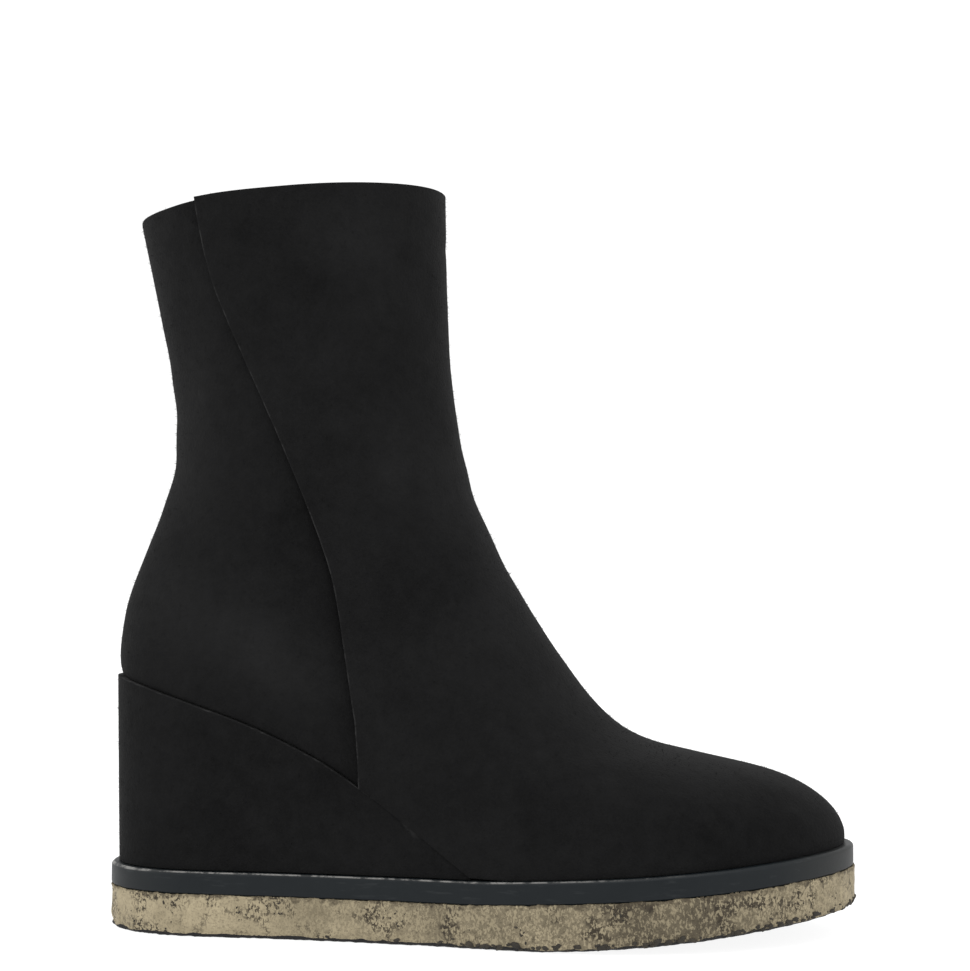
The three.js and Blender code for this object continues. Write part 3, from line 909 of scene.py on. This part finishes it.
@dataclass
class Upper:
    """The hollow suede upper and the panel laid over its front."""

    finishes: Finishes
    hide: Hide = Hide()
    rim_radius: float = 0.6 * MM
    panel_gap: float = 0.3 * MM
    panel_thickness: float = 1.0 * MM
    panel_lift: float = 0.8 * MM
    lift_depth: float = 15 * MM
    panel_rounding: float = 0.28 * MM
    rim_angle: float = math.radians(60)
    snap: float = 0.6 * MM
    merge: float = 0.2 * MM
    strip: float = 0.55 * MM
    highlight_strength: float = 0.75
    tip_reach: float = 14 * MM
    tip_height: float = 29 * MM
    levels: int = 2

    def build(self) -> list[Item]:
        """Makes both pieces."""
        return [self.wall(), self.front_panel()]

    def wall(self) -> Item:
        """Makes the hollow wall, suede outside and lined inside."""
        mesh = cad_copy("upper")
        for face in islands(mesh, WALL_ANGLE)[1]:
            face.material_index = 1
        round_edges(mesh, sharp_edges(mesh, WALL_ANGLE), self.rim_radius)
        pin(mesh, self.at_tip)
        data = smoothed(mesh, self.levels)
        self.hide.creased(data)
        self.hide.shaded(data, under_panel=True)
        return make_piece("suede_upper", data, [self.finishes.suede, self.finishes.lining],
                          Slot.SUEDE, "upper")

    def front_panel(self) -> Item:
        """Makes the overlay from the upper's own outer wall, cut along its back edge."""
        mesh = cad_copy("upper")
        spare = [face for group in islands(mesh, WALL_ANGLE)[1:] for face in group]
        bmesh.ops.delete(mesh, geom=spare, context="FACES")
        pin(mesh, lambda point: point.is_boundary and self.at_tip(point))
        data = smoothed(mesh, self.levels)
        self.hide.creased(data)
        mesh = reopened(data)
        for point in mesh.verts:
            point.co += point.normal * self.panel_gap
        self.cut(mesh)
        top = max(point.co.z for point in mesh.verts)
        rim = [point for point in mesh.verts if point.is_boundary
               and point.co.z > top - self.lift_depth and self.level(point)]
        for point in rim:
            point.co.z += self.panel_lift
        data = as_data(mesh, "panel")
        self.hide.shaded(data)
        piece = make_piece("front_overlay", data, [self.finishes.suede, self.finishes.cut_edge],
                           Slot.SUEDE, "front_panel")
        modify(piece, "SOLIDIFY", thickness=self.panel_thickness, offset=1.0,
               material_offset_rim=1)
        modify(piece, "BEVEL", width=self.panel_rounding, segments=2, limit_method="ANGLE",
               angle_limit=self.rim_angle, use_clamp_overlap=True)
        return piece

    def cut(self, mesh: Cage) -> None:
        """Cuts a sheet along the panel's back edge, which is laid straight for the cut."""
        LAST.to_edge(list(mesh.verts), -1)
        for point in mesh.verts:
            if abs(point.co.x) < self.snap:
                point.co.x = 0.0
        for x, clears in ((0.0, True), (self.strip, False)):
            bmesh.ops.bisect_plane(mesh, geom=[*mesh.verts, *mesh.edges, *mesh.faces], dist=WELD,
                                   plane_co=(x, 0, 0), plane_no=(1, 0, 0), clear_inner=clears)
        near = [point for point in mesh.verts if point.co.x < 2 * self.strip]
        bmesh.ops.remove_doubles(mesh, verts=near, dist=self.merge)
        bmesh.ops.dissolve_degenerate(mesh, edges=list(mesh.edges), dist=self.merge / 4)
        # Marks the cut edge for the suede's painted highlight.
        rim = mesh.verts.layers.float.new("rim")
        for point in mesh.verts:
            point[rim] = self.highlight_strength * (point.co.x < WELD)
        LAST.to_edge(list(mesh.verts), 1)
        mesh.normal_update()

    def at_tip(self, point: Vert) -> bool:
        """True near the front tip of the wedge, where the lower edge has a corner."""
        return abs(point.co.x) < self.tip_reach and point.co.z < self.tip_height

    @staticmethod
    def level(point: Vert) -> bool:
        """True where an edge of the sheet runs level, as it does along the collar."""
        rims = [edge for edge in point.link_edges if edge.is_boundary]
        runs = [edge.verts[1].co - edge.verts[0].co for edge in rims]
        return any(abs(run.z) < 0.3 * run.length for run in runs)


@dataclass
class Wedge:
    """The wedge heel, covered in the same suede."""

    finishes: Finishes
    hide: Hide = Hide()
    rounding: float = 0.35 * MM
    round_above: float = 34 * MM
    inset: float = 0.5 * MM
    tip_from: float = -16 * MM
    highlight_tilt: float = 0.12
    highlight_to: Point = (-14 * MM, -26 * MM)
    highlight_strength: float = 0.8
    shade: float = -0.17
    levels: int = 2

    def build(self) -> Item:
        """Makes the covered wedge."""
        mesh = cad_copy("wedge")
        crease = mesh.edges.layers.float.new("crease_edge")
        rims = sharp_edges(mesh, WALL_ANGLE)
        high = [edge for edge in rims if min(v.co.z for v in edge.verts) > self.round_above]
        round_edges(mesh, high, self.rounding, 3)
        side = islands(mesh, WALL_ANGLE)[0]
        bmesh.ops.inset_region(mesh, faces=side, thickness=self.inset, use_even_offset=True)
        for edge in sharp_edges(mesh, WALL_ANGLE):
            edge[crease] = 1.0
        pin(mesh, lambda point: point.co.x > self.tip_from)
        data = smoothed(mesh, self.levels)
        self.hide.shaded(data, shade=self.shade)
        # Painted highlight on the upward-facing top edge of the wedge, from the back to near its
        # front tip.
        places, tilt = read_points(data), read_points(data, "normal")[:, 2]
        edge_highlight = soft_step(tilt, self.highlight_tilt, 3 * self.highlight_tilt)
        paint(data, "rim", self.highlight_strength * edge_highlight * soft_step(places[:, 0], *self.highlight_to))
        piece = make_piece("covered_wedge", data, [self.finishes.suede], Slot.SUEDE, "wedge")
        data.set_sharp_from_angle(angle=WALL_ANGLE)
        return piece


@dataclass
class Fuzz:
    """Loose fibres of the nap, which soften the outline of the suede."""

    finishes: Finishes
    seed: int = 5
    fibres: int = 40000
    length: Point = (0.3 * MM, 0.85 * MM)
    width: float = 0.07 * MM
    lean: float = 0.55
    start: float = 0.1 * MM

    def build(self, pieces: list[Item]) -> Item:
        """Plants the fibres on the suede that shows.

        Args:
            pieces: The suede pieces.

        Returns:
            One object with all the fibres.
        """
        rows = np.vstack([self.spots(piece) for piece in pieces])
        rng = np.random.default_rng(self.seed)
        picked = rng.choice(len(rows), self.fibres, p=rows[:, 9] / rows[:, 9].sum())
        middle, corner, normal = np.split(rows[picked, :9], 3, axis=1)
        share = rng.uniform(0, 0.95, (self.fibres, 1))
        root = middle + share * (corner - middle) - normal * self.start
        lean = rng.normal(0, self.lean, (self.fibres, 3))
        tip = root + (normal + lean) * rng.uniform(*self.length, (self.fibres, 1))
        across = np.cross(normal, lean)
        across *= self.width / np.linalg.norm(across, axis=1, keepdims=True)
        along = np.cross(normal, across)
        points = np.stack([root + across, root - 0.5 * across + 0.87 * along,
                           root - 0.5 * across - 0.87 * along, tip], axis=1)
        first = 4 * np.arange(self.fibres)[:, None, None]
        faces = first + np.array([[0, 1, 3], [1, 2, 3], [2, 0, 3], [0, 2, 1]])
        data = bpy.data.meshes.new("fuzz")
        data.from_pydata(points.reshape(-1, 3).tolist(), [], faces.reshape(-1, 3).tolist())
        return make_piece("suede_fibres", data, [self.finishes.suede], Slot.SUEDE)

    @staticmethod
    def spots(piece: Item) -> Rows:
        """Lists where fibres may stand: middle, one corner, normal and area of each face."""
        graph = bpy.context.evaluated_depsgraph_get()
        data = bpy.data.meshes.new_from_object(piece.evaluated_get(graph))
        rows = np.array([(*face.center, *data.vertices[face.vertices[face.index % 3]].co,
                          *face.normal, face.area)
                         for face in data.polygons if face.material_index == 0])
        bpy.data.meshes.remove(data)
        shows = np.abs(rows[:, 8]) < 0.97
        if piece.name.startswith("suede_upper"):
            shows &= rows[:, 0] < LAST.edge_at(rows[:, 2])
        return rows[shows]


@dataclass
class Insole:
    """The leather sock and board under the foot."""

    finishes: Finishes
    rounding: float = 0.9 * MM

    def build(self) -> Item:
        """Makes the insole."""
        mesh = cad_copy("insole")
        round_edges(mesh, sharp_edges(mesh, WALL_ANGLE), self.rounding)
        data = smoothed(mesh, 1)
        return make_piece("sock_insole", data, [self.finishes.lining], Slot.LINING, "insole")


@dataclass
class Rand:
    """The midsole in its slate leather rand, with a rounded lip at the top."""

    finishes: Finishes
    rounding: float = 0.32 * MM
    rounding_below: float = 0.12 * MM
    inset: float = 1.5 * MM
    lip_from: float = 0.57 * MM
    lip_to: float = 0.34 * MM
    lip_at_heel: float = 0.8
    heel_from: Point = (-98 * MM, -122 * MM)
    levels: int = 2

    def build(self) -> Item:
        """Makes the midsole."""
        mesh = cad_copy("midsole")
        groups = islands(mesh, FLAT_ANGLE)
        for group in groups:
            tilt = sum(face.normal.z for face in group) / len(group)
            for face in group:
                face.material_index = int(0.2 < tilt < 0.95)
        for cap in groups[:2]:
            bmesh.ops.inset_region(mesh, faces=cap, thickness=self.inset, use_even_offset=True)
        sharp = sharp_edges(mesh, FLAT_ANGLE)
        low = [edge for edge in sharp if all(not face.normal.z > 0.2 for face in edge.link_faces)]
        round_edges(mesh, [edge for edge in sharp if edge not in low], self.rounding)
        round_edges(mesh, [edge for edge in low if edge.is_valid], self.rounding_below)
        data = smoothed(mesh, self.levels)
        self.mark_lip(data)
        return make_piece("slate_rand_midsole", data, [self.finishes.rand], Slot.RAND, "midsole")

    def mark_lip(self, data: MeshData) -> None:
        """Paints the upper part of the top chamfer as a light line, partly the edge's own colour
        and partly a painted highlight.
        """
        places = read_points(data)
        chamfer = np.zeros(len(places))
        for face in data.polygons:
            if face.material_index:
                chamfer[list(face.vertices)] = 1.0
                face.material_index = 0
        below = LAST.rand_crown(places[:, 0]) - places[:, 2]
        wide = 1.0 + self.lip_at_heel * soft_step(places[:, 0], *self.heel_from)
        paint(data, "lip", chamfer * soft_step(below / wide, self.lip_from, self.lip_to))


@dataclass
class CrepeSole:
    """The crepe outsole with its lumps, and the dark crumbs in it."""

    finishes: Finishes
    voxel: float = 0.8 * MM
    shoulder_out: float = 0.3 * MM
    heel_in_mm: float = 0.5
    broad_grain: float = 11 * MM
    lump_grain: float = 3.4 * MM
    pit_grain: float = 5.0 * MM
    skin_grain: float = 9 * MM
    grime_and_shade_grain: float = 16 * MM
    seed: int = 31
    clusters: int = 40
    cluster_reach: float = 3.2 * MM
    cluster_crumbs: int = 6
    foot_crumbs: int = 210
    crumbs_below: float = 13 * MM
    foot_below: float = 2.4 * MM
    small_mm: Point = (0.13, 0.4)
    large_mm: Place = (0.25, 1.25, 0.4)
    tread_mm: tuple[Point, ...] = ((-129, 0.9), (-60, 1.1), (20, 1.4), (80, 1.1), (129, 0.5))
    # Share of grime along the sole by x in millimetres, partly real dirt and partly painted shade.
    grime_and_shade: tuple[Point, ...] = ((-129, 0.0), (-70, 0.05), (-25, 0.28), (25, 0.4), (52, 0.62),
                                (84, 0.62), (100, 0.28), (129, 0.1))

    def build(self) -> None:
        """Makes the sole and then the crumbs that sit on it."""
        self.crumbs(self.sole())

    def sole(self) -> Item:
        """Makes the slab."""
        data = evaluated(cad_copy("outsole"), "REMESH", mode="VOXEL", voxel_size=self.voxel)
        places = read_points(data)
        above = places[:, 2] - LAST.sole_foot(places[:, 0])
        self.roughen(data, places, above)
        self.weather(data, above)
        return make_piece("crepe_sole", data, [self.finishes.crepe], Slot.CREPE, "outsole")

    def roughen(self, data: MeshData, places: Rows, above: Rows) -> None:
        """Gives the slab its lumps and pits, and brings its shoulder up to the rand.

        Args:
            data: Mesh data to change.
            places: Rows of x, y and z, from before the lumps.
            above: Height of each point over the underside.
        """
        normals = read_points(data, "normal")
        x, up = places[:, 0], normals[:, 2]
        wall = soft_step(np.abs(up), 0.85, 0.45)
        foot = soft_step(above, 4.5 * MM, 0.5 * MM)
        forward = soft_step(x, -70 * MM, 10 * MM)
        broad = cloud(places, self.broad_grain, 1.3, 2)
        lumps = cloud(places, self.lump_grain, 7.9, 3)
        pits = np.clip(cloud(places, self.pit_grain, 12.1, 2) - 0.35, 0, None)
        lift_mm = wall * (0.2 * broad - 0.3 + 0.2 * forward + 0.13 * lumps - 0.8 * pits)
        lift_mm = lift_mm + wall * foot * (0.4 * forward * lumps - 0.7 * (1 - forward))
        lift_mm = lift_mm - self.heel_in_mm * wall * soft_step(x, -112 * MM, -126 * MM)
        lift_mm = lift_mm - soft_step(-up, 0.5, 0.9) * (0.12 + 0.25 * np.abs(lumps))
        move_points(data, lift_mm * MM)
        shoulder = soft_step(up, 0.1, 0.5) * soft_step(up, 0.99, 0.9)
        places = read_points(data)
        places[:, 2] = np.maximum(places[:, 2] + shoulder * (1.1 + 0.3 * lumps) * MM, 0.0)
        places[:, :2] += normals[:, :2] * (shoulder * self.shoulder_out)[:, None]
        write_points(data, places)

    def weather(self, data: MeshData, above: Rows) -> None:
        """Stores where the tread's skin and painted contact shadow, the darker band under the rand
        and the grime with painted shade lie.

        Args:
            data: Mesh data to paint.
            above: Height of each point over the underside, before the lumps.
        """
        places = read_points(data)
        x_mm = places[:, 0] / MM
        height = np.interp(x_mm, *zip(*self.tread_mm)) * MM
        ragged = height * (1.0 + 0.55 * cloud(places, self.skin_grain, 3.3, 3))
        # Black skin along the foot of the sole, partly a real dark layer and partly painted
        # contact shadow.
        paint(data, "tread", soft_step(above - ragged, 0.7 * MM, -0.7 * MM))
        below = LAST.rand_crown(places[:, 0]) - LAST.rand_height - places[:, 2]
        paint(data, "under", soft_step(below, 2.6 * MM, 0.2 * MM))
        # Partly real dirt and partly painted shade, darkest in the forepart.
        grime_and_shade = np.interp(x_mm, *zip(*self.grime_and_shade))
        grime_and_shade = grime_and_shade * (1 + 0.45 * cloud(places, self.grime_and_shade_grain, 9.1, 3))
        paint(data, "grime_and_shade", np.clip(grime_and_shade, 0, 1))

    def crumbs(self, sole: Item) -> Item:
        """Scatters crumbs in clusters on the wall of the sole and larger ones along its foot."""
        rng = random.Random(self.seed)
        rows = []
        for face in sole.data.polygons:
            above = face.center.z - float(LAST.sole_foot(np.array([face.center.x]))[0])
            if abs(face.normal.z) < 0.55 and above < self.crumbs_below:
                rows.append((*(round(value, 6) for value in face.center), *face.normal, above))
        rows.sort()
        mesh = bmesh.new()
        for heart in rng.sample(rows, self.clusters):
            near = [row for row in rows if math.dist(row[:3], heart[:3]) < self.cluster_reach]
            for row in rng.sample(near, min(len(near), rng.randint(2, self.cluster_crumbs))):
                self.crumb(mesh, rng, row, rng.uniform(*self.small_mm) * MM, 0.45, math.pi)
        low = [row for row in rows if row[6] < self.foot_below]
        forward = [row for row in low if rng.random() < 0.05 + 0.95 * (row[0] > -5 * MM)]
        for row in rng.sample(forward, self.foot_crumbs):
            self.crumb(mesh, rng, row, rng.triangular(*self.large_mm) * MM, 0.55, 0.5)
        return make_piece("crepe_crumbs", as_data(mesh, "crumbs"), [self.finishes.crumb],
                          Slot.CREPE)

    @staticmethod
    def crumb(mesh: Cage, rng: random.Random, row: tuple[float, ...], radius: float,
              height: float, spin: float) -> None:
        """Adds one crumb, pressed into the surface.

        Args:
            mesh: Mesh that gets the crumb.
            rng: Source of the random sizes.
            row: Place, normal and height of the spot.
            radius: Size of the crumb along the surface.
            height: Share of the size that it has across the surface.
            spin: Largest turn, in radians, of its long side away from level.
        """
        place, normal = Vector(row[:3]), Vector(row[3:6])
        turn = normal.to_track_quat("Z", "Y").to_matrix().to_4x4()
        turn = turn @ Matrix.Rotation(rng.uniform(-spin, spin), 4, "Z")
        stretch = Matrix.Diagonal((radius * rng.uniform(1.0, 2.4), radius, radius * height, 1))
        place.z = max(place.z, radius * 0.9)
        matrix = Matrix.Translation(place) @ turn @ stretch
        made = bmesh.ops.create_icosphere(mesh, subdivisions=1, radius=1.0, matrix=matrix)
        for point in made["verts"]:
            point.co += (point.co - place) * rng.uniform(-0.25, 0.25)
            point.co.z = max(point.co.z, 0.0)


# Studio


@dataclass(frozen=True)
class Softbox:
    """A soft area light that points at the boot."""

    name: str
    place: Place
    size: float
    power: float


@dataclass
class Studio:
    """Pale floor, soft light and the camera of the photograph."""

    floor_size: float = 16.0
    floor_glow: float = 0.9
    floor_greys: tuple[Colour, Colour] = ((0.22, 0.22, 0.22), (0.24, 0.24, 0.24))
    white: tuple[float, ...] = (1.0, 1.0, 1.0, 1.0)
    aim: Place = (0.0, 0.0, 0.1)
    camera_place: Place = (0.05020, -0.65972, 0.12178)
    camera_pitch: float = 2.64
    camera_yaw: float = 4.247
    camera_roll: float = 0.321
    lens: float = 70.525
    world_light: float = 1.06
    softboxes: tuple[Softbox, ...] = (
        Softbox("overhead", (0.1, -0.5, 1.9), 1.6, 14.0),
        Softbox("toe_side", (1.5, -0.9, 0.7), 0.9, 4.0),
        Softbox("heel_side", (-1.5, -0.8, 0.7), 0.9, 6.0),
    )

    def build(self) -> None:
        """Makes the whole set."""
        self.floor()
        self.light()
        self.camera()
        bpy.context.scene.view_settings.view_transform = "Standard"

    def floor(self) -> None:
        """Lays the floor."""
        mesh = bmesh.new()
        bmesh.ops.create_grid(mesh, x_segments=2, y_segments=2, size=self.floor_size / 2)
        data = as_data(mesh, "studio_floor")
        finish = Finish("pale_floor", 0.9, 0.1)
        colour = finish.mixed(finish.noise(finish.place, 3.0), *self.floor_greys)
        finish.feed(finish.shader, {"Base Color": colour, "Emission Color": self.white,
                                    "Emission Strength": self.floor_glow})
        data.materials.append(finish.material)
        placed("studio_floor", data)

    def light(self) -> None:
        """Sets the white surroundings and the softboxes."""
        world = bpy.data.worlds.new("white_surroundings")
        world.use_nodes = True
        background = world.node_tree.nodes["Background"]
        background.inputs[0].default_value = self.white
        background.inputs[1].default_value = self.world_light
        bpy.context.scene.world = world
        for box in self.softboxes:
            data = bpy.data.lights.new(box.name, "AREA")
            data.size = box.size
            data.energy = box.power
            lamp = placed(box.name, data)
            lamp.location = box.place
            run = Vector(self.aim) - lamp.location
            lamp.rotation_euler = run.to_track_quat("-Z", "Y").to_euler()

    def camera(self) -> None:
        """Sets the camera at the photograph's angle."""
        data = bpy.data.cameras.new("photo_camera")
        data.sensor_fit = "HORIZONTAL"
        data.sensor_width = 36.0
        data.lens = self.lens
        data.clip_start = 0.01
        camera = placed("photo_camera", data)
        camera.location = self.camera_place
        turns = ((self.camera_yaw, "Z"), (90 + self.camera_pitch, "X"), (self.camera_roll, "Z"))
        yaw, pitch, roll = (Matrix.Rotation(math.radians(turn), 3, axis) for turn, axis in turns)
        camera.rotation_euler = (yaw @ pitch @ roll).to_euler()
        bpy.context.scene.camera = camera


def main() -> None:
    """Builds the boot and its studio."""
    logging.basicConfig(level=logging.INFO, format="%(name)s: %(message)s")
    Studio().build()
    finishes = Finishes.build()
    suede_pieces = [*Upper(finishes).build(), Wedge(finishes).build()]
    Fuzz(finishes).build(suede_pieces)
    Insole(finishes).build()
    Rand(finishes).build()
    CrepeSole(finishes).build()


if __name__ == "__main__":
    main()
